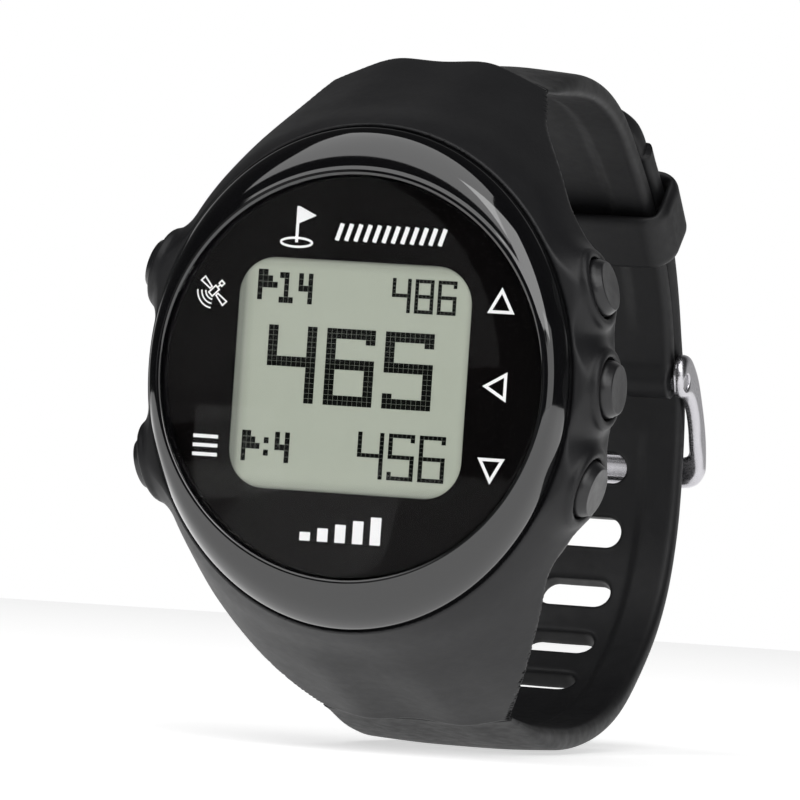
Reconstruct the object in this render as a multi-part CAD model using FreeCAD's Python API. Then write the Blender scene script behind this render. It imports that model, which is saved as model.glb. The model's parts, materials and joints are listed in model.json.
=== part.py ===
import FreeCAD, Part
import math
import os

# Golf GPS wrist watch, buckled. Millimetres.
# Frame: origin at the centre of the case back's outer face, dial facing -Y,
# 3 o'clock at +X, 12 o'clock at +Z.

# ---- driving dimensions ------------------------------------------------------
CASE_DEPTH = 16.0               # lip of the bezel to the outer face of the case back
LIP_Y = -CASE_DEPTH
LIP_R = 19.5                    # round lip of the bezel
LENS_R = 18.85
BEZEL_HALF_W = 20.9             # bezel's oval foot
BEZEL_HALF_H = 23.6
BEZEL_FOOT_Y = LIP_Y + 2.5
CASE_FRONT_Y = BEZEL_FOOT_Y + 0.4
UPPER_LUG_Y = 4.2               # end plane of the 12 o'clock hood
LOWER_LUG_Y = 9.5               # end plane of the 6 o'clock hood
LCD_W, LCD_H = 25.0, 24.0
WINDOW_W, WINDOW_H, WINDOW_R = 23.2, 21.75, 3.6
CAVITY_R = 18.3
REAR_OPENING_R = 16.6
BOARD_R = 16.6
BOARD_Y = (-11.0, -10.2)        # front and rear face of the circuit board
BUTTON_Y = -9.2                 # button axes, from the case back
BUTTON_R = 2.75
BUTTON_TRAVEL = 0.8
STEM_R = 0.8
BORE_CLEARANCE = 0.05
BOSS_RIM_R = 3.7
BOSS_RIM_T = 1.3                # a button's face stands this far out of its rim
RECESS_T = 3.5                  # floor of the button's recess, from its face
STRAP_T = 2.2
SLOT_L, SLOT_H, SLOT_PITCH = 7.6, 3.0, 6.5
SLOT_COUNT = 11
LAYER_GAP = 0.15                # between the two halves where they lie on each other
LUG_PIN_R = 0.6
UPPER_PIN = (0.5, 27.0)         # lug pins, as y, z
LOWER_PIN = (0.6, -27.0)
LUG_POCKET_HALF_W = 5.6
PIN_R = 0.75
BUCKLE_PIN = (53.6, 2.4)
BUCKLE_HALF_W = 11.1
ARM_T = 1.3
END_BAR_TOP_Z = -6.7            # side of the end bar that faces the pin
TONGUE_T = 0.9
KEEPER_AT = 43.6                # middle of the keeper, along the 12 o'clock half
KEEPER_L = 6.8
KEEPER_HALF_W = 11.0
KEEPER_WALL = 1.25

# name: (side, x of the face centre, z of the face centre, tilt of the axis in degrees)
BUTTONS = {
    "button_up": (1, 22.9, 10.15, 15.0),
    "button_back": (1, 24.4, 0.5, 0.0),
    "button_down": (1, 22.9, -9.15, -15.0),
    "button_gps": (-1, 22.7, 9.8, 15.0),
    "button_menu": (-1, 22.7, -9.4, -15.0),
}

# depth y: (half width, half height, roundness power) of the hood's outline
HOOD_SECTIONS = [
    (CASE_FRONT_Y, 21.25, 23.9, 2.0),
    (-11.0, 21.95, 24.8, 2.1),
    (-8.0, 22.4, 25.9, 2.2),
    (-4.0, 22.6, 27.6, 2.27),
    (0.5, 22.6, 29.5, 2.32),
    (UPPER_LUG_Y, 22.6, 31.1, 2.37),
    (LOWER_LUG_Y + 0.5, 22.6, 33.4, 2.5),
]

# edge where the hood is cut away towards the wrist, as (y, z), from 12 to 6 o'clock
REAR_EDGE = [
    (UPPER_LUG_Y, 28.7), (2.2, 27.3), (-0.8, 25.2), (-3.3, 22.8), (-5.6, 19.8), (-7.2, 16.6),
    (-6.6, 13.6), (-5.0, 10.0), (-4.8, 0.5), (-5.0, -9.5), (-6.8, -13.6), (-7.4, -16.2),
    (-5.6, -19.4), (-1.9, -23.6), (1.8, -26.9), (5.6, -29.5), (LOWER_LUG_Y, -31.5),
]

# wrist-side line of each strap half, as (y, z), from the lug to the free end
UPPER_STRAP = [
    (UPPER_LUG_Y, 28.4), (10.0, 28.5), (16.0, 28.8), (22.0, 28.6), (27.4, 27.6), (31.4, 26.1),
    (35.3, 23.9), (39.2, 21.4), (42.6, 18.7), (45.7, 15.6), (48.5, 12.1), (50.6, 8.6),
    (52.0, 5.2), (52.6, 1.6),
]
LOWER_STRAP = [
    (LOWER_LUG_Y, -31.2), (14.0, -31.9), (20.0, -32.3), (26.0, -32.4), (34.8, -31.6),
    (43.7, -28.9), (48.1, -26.1), (51.5, -23.3), (53.9, -20.5), (55.4, -17.9), (56.4, -15.1),
    (57.1, -11.7), (57.3, -8.0), (57.1, -3.2), (56.5, 0.4),
]
TAIL_ON_UPPER = (57.5, 53, 48, 43, 38, 33, 27)  # where the tail lies, along the other half
SLOT_START = 36.5               # first slot, along the 6 o'clock half from its lug

# side view of the buckle's frame, as (y, z), round its edge from the pin
BUCKLE_SIDE = [
    (52.2, 2.6), (52.7, 4.7), (54.2, 5.3), (56.2, 4.5), (57.8, 3.2), (59.2, 1.4), (60.8, -1.1),
    (61.9, -3.5), (62.35, -5.4), (62.4, -7.2), (61.8, -8.4), (60.7, -8.1), (60.45, -6.8),
    (60.3, -4.6), (59.3, -2.6), (57.6, -0.6), (55.4, 0.8), (53.2, 1.0),
]
# middle line of the tongue, as (y, z), from its eye to its tip
TONGUE_LINE = [
    (54.6, 1.6), (55.7, 0.5), (57.0, -0.2), (58.6, -0.35), (60.2, -1.1), (61.8, -3.0), (62.4, -5.4),
    (62.55, -8.3),
]

PARTS = {}


# ---- small helpers -----------------------------------------------------------
def vec(x, y, z):
    return FreeCAD.Vector(x, y, z)


def save(name, shape):
    """Keep one named piece."""
    PARTS[name] = shape


def fused(shapes):
    return shapes[0].multiFuse(shapes[1:])


def box(x0, x1, y0, y1, z0, z1):
    return Part.makeBox(x1 - x0, y1 - y0, z1 - z0, vec(x0, y0, z0))


def disc(radius, y0, y1, x=0.0, z=0.0):
    """Solid cylinder along Y."""
    return Part.makeCylinder(radius, y1 - y0, vec(x, y0, z), vec(0, 1, 0))


def ring(outer, inner, y0, y1, x=0.0, z=0.0):
    return disc(outer, y0, y1, x, z).cut(disc(inner, y0 - 1, y1 + 1, x, z))


def rod_x(radius, half_length, y, z):
    """Solid cylinder along X, centred on X = 0."""
    return Part.makeCylinder(radius, 2 * half_length, vec(-half_length, y, z), vec(1, 0, 0))


def rounded_plate(width, height, corner, y0, y1):
    """Plate in the dial's plane with rounded corners."""
    plate = box(-width / 2, width / 2, y0, y1, -height / 2, height / 2)
    upright = [e for e in plate.Edges if abs(e.tangentAt(e.FirstParameter).y) > 0.99]
    return plate.makeFillet(corner, upright)


def outline(half_w, half_h, power, y, groove=0.0, count=56):
    """Closed superellipse in the plane y, with a shallow groove at 12 and 6 o'clock."""
    points = []
    for i in range(count):
        a = 2 * math.pi * i / count
        c, s = math.cos(a), math.sin(a)
        x = half_w * math.copysign(abs(c) ** (2 / power), c)
        z = half_h * math.copysign(abs(s) ** (2 / power), s)
        dip = groove * math.exp(-((x / 3.4) ** 2))
        points.append(vec(x, y, z - math.copysign(dip, z)))
    curve = Part.BSplineCurve()
    curve.interpolate(points, PeriodicFlag=True)
    return Part.Wire(curve.toShape())


def outline_slab(half_w, half_h, power, y0, y1):
    face = Part.Face(outline(half_w, half_h, power, y0))
    return face.extrude(vec(0, y1 - y0, 0))


def side_profile(points, half_width):
    """Solid from a closed polygon in the YZ plane, extruded both ways along X."""
    wire = Part.makePolygon([vec(-half_width, y, z) for y, z in points + points[:1]])
    return Part.Face(wire).extrude(vec(2 * half_width, 0, 0))


def yz_curve(points, x=0.0):
    curve = Part.BSplineCurve()
    curve.interpolate([vec(x, y, z) for y, z in points])
    return curve.toShape()


def at_distance(edge, s):
    """Point and unit tangent at the distance s along an edge."""
    p = edge.getParameterByLength(min(s, edge.Length * 0.999999))
    return edge.valueAt(p), edge.tangentAt(p)


# ---- case --------------------------------------------------------------------
def hood():
    """Flared outer shell of the case with both lug hoods, cut to the wrist-side edge."""
    first, last = HOOD_SECTIONS[0][0], HOOD_SECTIONS[-1][0]
    wires = []
    for y, half_w, half_h, power in HOOD_SECTIONS:
        groove = 0.5 * (y - first) / (last - first)
        wires.append(outline(half_w, half_h, power, y, groove))
    skin = Part.makeLoft(wires, True, False)
    far, reach = 40.0, 60.0
    edge = yz_curve(REAR_EDGE, -far)
    rest = Part.makePolygon([vec(-far, y, z) for y, z in (
        REAR_EDGE[-1], (LOWER_LUG_Y, -reach), (reach, -reach), (reach, reach),
        (UPPER_LUG_Y, reach), REAR_EDGE[0])])
    behind = Part.Face(Part.Wire([edge] + rest.Edges)).extrude(vec(2 * far, 0, 0))
    return skin.cut(behind)


def tub():
    """Rear part of the case that stands towards the wrist."""
    back = outline_slab(20.2, 21.4, 2.8, -7.0, 0.0)
    rim = [e for e in back.Edges if abs(e.CenterOfMass.y) < 0.01]
    return back.makeFillet(0.8, rim)


def button_axis(name):
    """Face centre, and the direction that points into the case."""
    side, x, z, tilt = BUTTONS[name]
    a = math.radians(tilt)
    inward = vec(-side * math.cos(a), 0, -math.sin(a))
    return vec(side * x, BUTTON_Y, z), inward


def wall_end(name):
    """Distance along a button's axis from its face to the cavity's round wall."""
    start, inward = button_axis(name)
    b = start.x * inward.x + start.z * inward.z
    c = start.x ** 2 + start.z ** 2 - CAVITY_R ** 2
    return -b - math.sqrt(b * b - c)


def along(name, t):
    start, inward = button_axis(name)
    return start + inward * t


def axis_rod(name, radius, t0, t1):
    _, inward = button_axis(name)
    return Part.makeCylinder(radius, t1 - t0, along(name, t0), inward)


def axis_cone(name, r0, r1, t0, t1):
    _, inward = button_axis(name)
    return Part.makeCone(r0, r1, t1 - t0, along(name, t0), inward)


def button_boss(name):
    """Mound with a rounded rim round a button's recess."""
    rim = axis_cone(name, BOSS_RIM_R - 0.35, BOSS_RIM_R, BOSS_RIM_T, BOSS_RIM_T + 0.45)
    flank = axis_cone(name, BOSS_RIM_R, BOSS_RIM_R + 0.55, BOSS_RIM_T + 0.45, 5.6)
    return fused([rim, flank])


def button_recess(name):
    recess = axis_rod(name, BUTTON_R + 0.15, 0.0, RECESS_T)
    bore = axis_rod(name, STEM_R + BORE_CLEARANCE, RECESS_T - 0.5, wall_end(name) + 1.5)
    return [recess, bore]


def screw_places():
    return [(sx * 13.6, sz * 13.6) for sx in (-1, 1) for sz in (-1, 1)]


def lug_pocket(pin, root, sign):
    """Space inside a hood for the strap's root, open towards the wrist."""
    y, z = pin
    root_y, root_z = root
    return side_profile([(y - 1.3, z + sign * 1.0), (root_y, root_z - sign * 0.1),
                         (root_y + 1, root_z - sign * 0.1), (root_y + 1, z - sign * 12),
                         (y - 1.3, z - sign * 12)], LUG_POCKET_HALF_W)


def case_shell():
    body = fused([hood(), tub()] + [button_boss(name) for name in BUTTONS])
    tub_outline = outline_slab(20.2, 21.4, 2.8, -7.0, 0.0)
    cuts = [
        outline_slab(BEZEL_HALF_W + 0.1, BEZEL_HALF_H + 0.1, 2.0, LIP_Y, CASE_FRONT_Y),
        disc(CAVITY_R, CASE_FRONT_Y - 1, -4.2),
        disc(REAR_OPENING_R, -5.0, -1.8),
        outline_slab(18.95, 20.15, 2.8, -1.8, 1.0),
        ring(17.85, 17.05, -2.3, -1.8),
        lug_pocket(UPPER_PIN, UPPER_STRAP[0], 1).cut(tub_outline),
        lug_pocket(LOWER_PIN, LOWER_STRAP[0], -1).cut(tub_outline),
        rod_x(LUG_PIN_R + BORE_CLEARANCE, 7.0, *UPPER_PIN),
        rod_x(LUG_PIN_R + BORE_CLEARANCE, 7.0, *LOWER_PIN),
    ]
    cuts += [disc(0.6, -4.9, -1.7, x, z) for x, z in screw_places()]
    for name in BUTTONS:
        cuts += button_recess(name)
    return body.cut(cuts)


def case_back():
    plate = outline_slab(18.85, 20.05, 2.8, -1.8, 0.0)
    rim = [e for e in plate.Edges if abs(e.CenterOfMass.y) < 0.01]
    plate = plate.makeChamfer(0.25, rim)
    cuts = []
    for x, z in screw_places():
        cuts += [disc(0.75, -2.0, 0.1, x, z), disc(1.55, -0.95, 0.1, x, z)]
    cuts += [disc(0.85, -2.0, 0.1, x, z) for x, z in contact_places()]
    return plate.cut(cuts)


def contact_places():
    return [(-4.2 + 2.8 * i, -12.5) for i in range(4)]


def back_screws():
    """Four pan-head screws, each with a cross recess."""
    screws = []
    for x, z in screw_places():
        head = disc(1.45, -0.95, -0.1, x, z)
        shank = disc(0.55, -4.6, -0.95, x, z)
        cross = fused([box(x - 0.9, x + 0.9, -0.5, 0.1, z - 0.15, z + 0.15),
                       box(x - 0.15, x + 0.15, -0.5, 0.1, z - 0.9, z + 0.9)])
        screws.append(fused([head, shank]).cut(cross))
    return Part.makeCompound(screws)


def charging_contacts():
    pins = [fused([disc(0.8, -1.8, -0.05, x, z), disc(1.2, -2.3, -1.8, x, z)])
            for x, z in contact_places()]
    return Part.makeCompound(pins)


# ---- bezel, lens and display ---------------------------------------------------
def bezel():
    """Gloss ring: a round lip that swells out to an oval foot."""
    sections = [
        (LIP_Y, LIP_R + 0.05, LIP_R + 0.05),
        (LIP_Y + 0.5, 20.1, 21.3),
        (LIP_Y + 1.4, 20.6, 22.75),
        (BEZEL_FOOT_Y, BEZEL_HALF_W, BEZEL_HALF_H),
    ]
    dome = Part.makeLoft([outline(w, h, 2.0, y) for y, w, h in sections], True, False)
    foot = outline_slab(BEZEL_HALF_W, BEZEL_HALF_H, 2.0, BEZEL_FOOT_Y, CASE_FRONT_Y)
    skirt = disc(CAVITY_R - 0.08, CASE_FRONT_Y - 0.2, -11.9)
    body = fused([dome, foot, skirt])
    body = body.cut([disc(LENS_R + 0.05, LIP_Y - 1, -13.9), disc(17.7, -14.5, -11.0)])
    lip = [e for e in body.Edges if abs(e.CenterOfMass.y - LIP_Y) < 0.01]
    return body.makeFillet(0.2, lip)


def lens():
    glass = disc(LENS_R, LIP_Y + 0.4, -14.3)
    edge = [e for e in glass.Edges if abs(e.CenterOfMass.y - LIP_Y - 0.4) < 0.01]
    return glass.makeChamfer(0.25, edge)


def lens_mask():
    window = rounded_plate(WINDOW_W, WINDOW_H, WINDOW_R, -15, -14)
    return disc(LENS_R - 0.15, -14.3, -14.2).cut(window)


def lcd_frame():
    """Tray that holds the glass and the backlight on the board, open at the connector."""
    body = rounded_plate(26.8, 25.8, 2.0, -13.9, BOARD_Y[0]).common(disc(17.62, -14, -10))
    pocket = box(-LCD_W / 2 - 0.05, LCD_W / 2 + 0.05, -14, -11.6, -12.05, 12.05)
    window = box(-11.0, 11.0, -12, -10, -12.05, 10.8)
    return body.cut([pocket, window])


def main_board():
    board = disc(BOARD_R, *BOARD_Y)
    return board.cut([disc(0.95, -12, -9, 0, z) for z in (-14.6, 14.6)])


def inner_frame():
    """Battery tray with a floor, a round wall and two pegs through the board."""
    body = disc(16.35, -8.15, -2.5)
    pocket = box(-11.2, 11.2, -7.6, -2, -9.2, 9.2)
    relief = disc(5.0, -9, -7)
    body = body.cut([pocket, relief])
    contacts = box(-6.5, 6.5, -4.0, -2.0, -14.2, -10.9)
    pegs = [disc(0.85, -11.0, -8.15, 0, z) for z in (-14.6, 14.6)]
    return fused([body.cut(contacts)] + pegs)


def side_switch(name):
    """Side-push switch whose plunger meets the stem at the end of the button's travel."""
    tip = stem_end(name) + BUTTON_TRAVEL + 0.05
    plunger = axis_rod(name, 0.5, tip, tip + 0.7)
    body = Part.makeBox(3.2, 2.0, 3.6, vec(0, -1.0, -1.8))
    side, _, _, tilt = BUTTONS[name]
    # the box's own X axis turns onto the button's inward direction
    turn = tilt if side < 0 else 180.0 - tilt
    body.rotate(vec(0, 0, 0), vec(0, 1, 0), turn)
    body.translate(along(name, tip + 0.5))
    return fused([plunger, body])


def stem_end(name):
    return wall_end(name) + 1.15


# ---- buttons -------------------------------------------------------------------
def button(name):
    """Bevelled cap, hollow behind for its spring, with a grooved stem."""
    face = axis_cone(name, 2.25, BUTTON_R, 0.0, 0.65)
    skirt = axis_rod(name, BUTTON_R, 0.65, 2.4)
    hollow = axis_rod(name, 2.2, 0.95, 2.6)
    stem = axis_rod(name, STEM_R, 0.5, stem_end(name))
    groove_t = RECESS_T + 0.7
    clip_t = clip_place(name)
    grooves = [axis_rod(name, 1.2, groove_t, groove_t + 0.5).cut(axis_rod(name, 0.55, 0, 20)),
               axis_rod(name, 1.2, clip_t, clip_t + 0.3).cut(axis_rod(name, 0.5, 0, 20))]
    return fused([face, skirt]).cut(hollow).fuse(stem).cut(grooves)


def clip_place(name):
    return wall_end(name) + 0.4


def button_o_ring(name):
    t = RECESS_T + 0.7
    return axis_rod(name, 0.84, t, t + 0.5).cut(axis_rod(name, 0.55, 0, 20))


def button_clip(name):
    """Retaining clip with an open side."""
    t = clip_place(name)
    clip = axis_rod(name, 1.2, t, t + 0.3).cut(axis_rod(name, 0.5, 0, 20))
    centre = along(name, t)
    gap = box(-3, 3, 0.2, 3, -0.45, 0.45)
    gap.translate(centre)
    return clip.cut(gap)


def button_spring(name):
    """Open coil between the hollow cap and the floor of the recess."""
    wire_r, coil_r, turns, per_turn = 0.13, 1.5, 3.5, 10
    start, end = 0.95 + wire_r + 0.01, RECESS_T - wire_r - 0.01
    count = int(turns * per_turn)
    rise = (end - start) / count
    rounds = []
    for i in range(count + 1):
        a = 2 * math.pi * i / per_turn
        centre = vec(coil_r * math.cos(a), coil_r * math.sin(a), rise * i)
        rounds.append(Part.Wire(Part.makeCircle(wire_r, centre,
                                                vec(-math.sin(a), math.cos(a), 0))))
    coil = Part.makeLoft(rounds, True, True)
    _, inward = button_axis(name)
    coil.Placement = FreeCAD.Placement(along(name, start),
                                       FreeCAD.Rotation(vec(0, 0, 1), inward))
    return coil


# ---- strap ---------------------------------------------------------------------
def strap_section(point, tangent, sign, half_w, edge_t, centre_t):
    """Closed wire across the strap: flat to the wrist, crowned outside, corners rounded."""
    outward = vec(0, -sign * tangent.z, sign * tangent.y)
    corner = 0.35 * edge_t

    def at(u, v):
        return vec(u, point.y + outward.y * v, point.z + outward.z * v)

    def curve(*pts):
        return Part.Arc(*[at(*p) for p in pts]).toShape()

    k = corner * (1 - math.sqrt(0.5))
    w, t, c = half_w, edge_t, corner
    return Part.Wire([
        Part.LineSegment(at(-w + c, 0), at(w - c, 0)).toShape(),
        curve((w - c, 0), (w - k, k), (w, c)),
        Part.LineSegment(at(w, c), at(w, t - c)).toShape(),
        curve((w, t - c), (w - k, t - k), (w - c, t)),
        curve((w - c, t), (0, centre_t), (-w + c, t)),
        curve((-w + c, t), (-w + k, t - k), (-w, t - c)),
        Part.LineSegment(at(-w, t - c), at(-w, c)).toShape(),
        curve((-w, c), (-w + k, k), (-w + c, 0)),
    ])


def blend(x, x0, x1, a, b):
    """Goes smoothly from a to b as x goes from x0 to x1."""
    s = min(1.0, max(0.0, (x - x0) / (x1 - x0)))
    return a + (b - a) * s * s * (3 - 2 * s)


def upper_line():
    return yz_curve(UPPER_STRAP)


def lower_line():
    """Wrist-side line of the 6 o'clock half, its tail lying on the other half."""
    base = upper_line()
    points = list(LOWER_STRAP)
    for s in TAIL_ON_UPPER:
        c, t = at_distance(base, s)
        lift = STRAP_T + LAYER_GAP
        points.append((c.y - t.z * lift, c.z + t.y * lift))
    return yz_curve(points)


def strap_body(line, sign, shape_at, count):
    """Loft along a wrist-side line, squared off at the lug.

    shape_at gives the half width, edge and centre thickness by distance.
    """
    wires = []
    for i in range(count):
        s = line.Length * i / (count - 1)
        wires.append(strap_section(*at_distance(line, s), sign, *shape_at(s, line.Length)))
    start_y = line.Vertexes[0].Y
    return Part.makeLoft(wires, True, False).cut(box(-20, 20, -20, start_y, -40, 40))


def upper_shape(s, length):
    half_w = blend(s, 0, 42, 10.75, 9.4)
    edge_t = blend(s, 0, 12, 0.4, STRAP_T)
    centre_t = blend(s, 0, 14, 2.65, STRAP_T + 0.55)
    return half_w, edge_t, blend(s, 14, 26, centre_t, STRAP_T + 0.03)


def lower_shape(s, length):
    half_w = blend(s, 0, 45, 10.2, 9.35)
    edge_t = blend(s, 0, 14, 0.4, STRAP_T)
    centre_t = blend(s, 0, 16, 2.3, STRAP_T + 0.45)
    centre_t = blend(s, 55, 75, centre_t, STRAP_T + 0.2)
    tip = length - s
    return half_w, blend(tip, 0, 7, 1.3, edge_t), blend(tip, 0, 7, 1.4, centre_t)


def root_tab(pin, points, sign):
    """Thick tab on the strap's root that the lug pin passes through."""
    y, z = pin
    (y0, z0), (y1, z1) = points[:2]
    return side_profile([
        (y - 1.1, z + sign * 0.9), (y0 - 0.15, z0 - sign * 0.25), (y0 + 0.05, z0 + sign * 0.4),
        (y1, z1 + sign * 0.4), (y1 - 2.5, z1 - sign * 1.2), (y + 1.0, z - sign * 0.9),
        (y - 1.1, z - sign * 0.9)], LUG_POCKET_HALF_W - 0.15)


def strap_upper():
    body = strap_body(upper_line(), 1, upper_shape, 22)
    tab = root_tab(UPPER_PIN, UPPER_STRAP, 1)
    y, z = BUCKLE_PIN
    end = rod_x(1.75, 9.4, y, z)
    notch = box(-1.7, 1.7, y - 4, y + 4, z - 4, z + 3.2)
    return fused([body, tab, end]).cut([
        notch,
        rod_x(PIN_R + BORE_CLEARANCE, 12, y, z),
        rod_x(LUG_PIN_R + BORE_CLEARANCE, 12, *UPPER_PIN),
    ])


def slot(line, s):
    """Buckle slot through the 6 o'clock half at distance s."""
    centre, tangent = at_distance(line, s)
    half = SLOT_L / 2 - SLOT_H / 2
    straight = Part.makeBox(2 * half, 8, SLOT_H, vec(-half, -4, -SLOT_H / 2))
    ends = [Part.makeCylinder(SLOT_H / 2, 8, vec(x, -4, 0), vec(0, 1, 0)) for x in (-half, half)]
    hole = fused([straight] + ends)
    turn = FreeCAD.Rotation(vec(0, 0, 1), tangent)
    hole.Placement = FreeCAD.Placement(centre, turn)
    return hole


def tip_trim(line):
    """Cutter that rounds off the tail's end."""
    radius = 9.0
    centre, tangent = at_distance(line, line.Length - radius)
    block = Part.makeBox(30, 16, 14, vec(-15, -8, 0))
    block = block.cut(Part.makeCylinder(radius + 0.4, 20, vec(0, -10, 0), vec(0, 1, 0)))
    block.Placement = FreeCAD.Placement(centre, FreeCAD.Rotation(vec(0, 0, 1), tangent))
    return block


def strap_lower():
    line = lower_line()
    body = strap_body(line, -1, lower_shape, 36)
    slots = [slot(line, SLOT_START + SLOT_PITCH * i) for i in range(SLOT_COUNT)]
    tab = root_tab(LOWER_PIN, LOWER_STRAP, -1)
    return fused([body, tab]).cut(slots + [
        tip_trim(line),
        rod_x(LUG_PIN_R + BORE_CLEARANCE, 12, *LOWER_PIN),
    ])


def keeper():
    """Free loop round both strap layers."""
    low, high = -0.6, 2 * STRAP_T + LAYER_GAP + 0.6
    half_w, wall = KEEPER_HALF_W, KEEPER_WALL
    outer = lengthwise_block(half_w, low - wall, high + wall, KEEPER_L, 2.8)
    inner = lengthwise_block(half_w - wall, low, high, KEEPER_L + 2, 0.6)
    loop = outer.cut(inner)
    centre, tangent = at_distance(upper_line(), KEEPER_AT)
    tilt = math.degrees(math.atan2(tangent.y, -tangent.z))
    loop.Placement = FreeCAD.Placement(centre, FreeCAD.Rotation(vec(1, 0, 0), tilt))
    return loop


def lengthwise_block(half_w, y0, y1, length, corner):
    """Block centred on Z = 0 with its four lengthwise edges rounded."""
    block = box(-half_w, half_w, y0, y1, -length / 2, length / 2)
    edges = [e for e in block.Edges if abs(e.tangentAt(e.FirstParameter).z) > 0.99]
    return block.makeFillet(corner, edges)


# ---- buckle --------------------------------------------------------------------
def buckle_frame():
    """Two curved arms joined by an end bar, with the outer corners rounded."""
    curve = Part.BSplineCurve()
    curve.interpolate([vec(-BUCKLE_HALF_W, y, z) for y, z in BUCKLE_SIDE], PeriodicFlag=True)
    side = Part.Face(Part.Wire(curve.toShape())).extrude(vec(2 * BUCKLE_HALF_W, 0, 0))
    plan = box(-BUCKLE_HALF_W, BUCKLE_HALF_W, 50, 65, -8.6, 6)
    low = [e for e in plan.Edges if abs(e.tangentAt(e.FirstParameter).y) > 0.99
           and e.CenterOfMass.z < 0]
    plan = plan.makeFillet(2.6, low)
    inside = BUCKLE_HALF_W - ARM_T
    opening = box(-inside, inside, 50, 65, END_BAR_TOP_Z, 8)
    rest = box(-1.5, 1.5, 62.0, 65, -9, -6)
    return side.common(plan).cut([opening, rest, rod_x(PIN_R + 0.07, 20, *BUCKLE_PIN)])


def buckle_tongue():
    """Bent tongue: an eye on the pin, then through a slot to rest on the end bar."""
    half_w = 1.1
    edge = yz_curve(TONGUE_LINE)
    sides = []
    for side in (1, -1):
        points = []
        for i in range(13):
            c, t = at_distance(edge, edge.Length * i / 12)
            points.append((c.y - side * t.z * TONGUE_T / 2, c.z + side * t.y * TONGUE_T / 2))
        sides.append(points)
    outer, inner = sides
    wire = Part.Wire([
        yz_curve(outer, -half_w),
        Part.LineSegment(vec(-half_w, *outer[-1]), vec(-half_w, *inner[-1])).toShape(),
        yz_curve(inner[::-1], -half_w),
        Part.LineSegment(vec(-half_w, *inner[0]), vec(-half_w, *outer[0])).toShape(),
    ])
    blade = Part.Face(wire).extrude(vec(2 * half_w, 0, 0))
    eye = rod_x(1.45, 1.4, *BUCKLE_PIN)
    return fused([eye, blade]).cut(rod_x(PIN_R + 0.07, 20, *BUCKLE_PIN))


# ---- assembly ------------------------------------------------------------------
def make_case():
    save("case_shell", case_shell())
    save("case_back", case_back())
    save("back_screws", back_screws())
    save("back_gasket", ring(17.8, 17.1, -2.3, -1.8))
    save("charging_contacts", charging_contacts())
    save("bezel", bezel())
    save("lens", lens())
    save("lens_mask", lens_mask())
    save("lens_gasket", ring(18.7, 17.75, -14.2, -13.9))


def make_module():
    save("lcd_glass", box(-LCD_W / 2, LCD_W / 2, -14.15, -12.6, -LCD_H / 2, LCD_H / 2))
    save("lcd_connector", box(-10, 10, -12.6, BOARD_Y[0], -11.9, -10.5))
    save("backlight", box(-12.2, 12.2, -12.6, -11.6, -10.3, 11.8))
    save("lcd_frame", lcd_frame())
    save("main_board", main_board())
    save("gps_antenna", box(-6, 6, -13.6, BOARD_Y[0], 13.0, 15.4))
    can = box(-6.5, 6.5, BOARD_Y[1], -8.6, -5.5, 5.5)
    hollow = box(-6.25, 6.25, BOARD_Y[1] - 1, -8.85, -5.25, 5.25)
    save("shield_can", can.cut(hollow))
    save("battery", box(-11, 11, -7.5, -2.5, -9, 9))
    save("battery_pad", box(-8, 8, -2.5, -1.85, -6, 6))
    save("inner_frame", inner_frame())
    for group, side in (("right_switches", 1), ("left_switches", -1)):
        names = [name for name in BUTTONS if BUTTONS[name][0] == side]
        save(group, Part.makeCompound([side_switch(name) for name in names]))


def make_buttons():
    for name in BUTTONS:
        save(name, button(name))
        save(name + "_o_ring", button_o_ring(name))
        save(name + "_clip", button_clip(name))
        save(name + "_spring", button_spring(name))


def make_strap():
    save("strap_upper", strap_upper())
    save("strap_lower", strap_lower())
    save("lug_pins", Part.makeCompound([rod_x(LUG_PIN_R, 6.9, *UPPER_PIN),
                                        rod_x(LUG_PIN_R, 6.9, *LOWER_PIN)]))
    save("keeper", keeper())
    save("buckle_frame", buckle_frame())
    save("buckle_tongue", buckle_tongue())
    save("buckle_pin", rod_x(PIN_R, BUCKLE_HALF_W - 0.2, *BUCKLE_PIN))


make_case()
make_module()
make_buttons()
make_strap()
os.makedirs("parts", exist_ok=True)
for part_name, part_shape in PARTS.items():
    part_shape.exportStep("parts/" + part_name + ".step")
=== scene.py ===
import json
import math

import bpy
import numpy as np
from mathutils import Matrix, Vector

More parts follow.
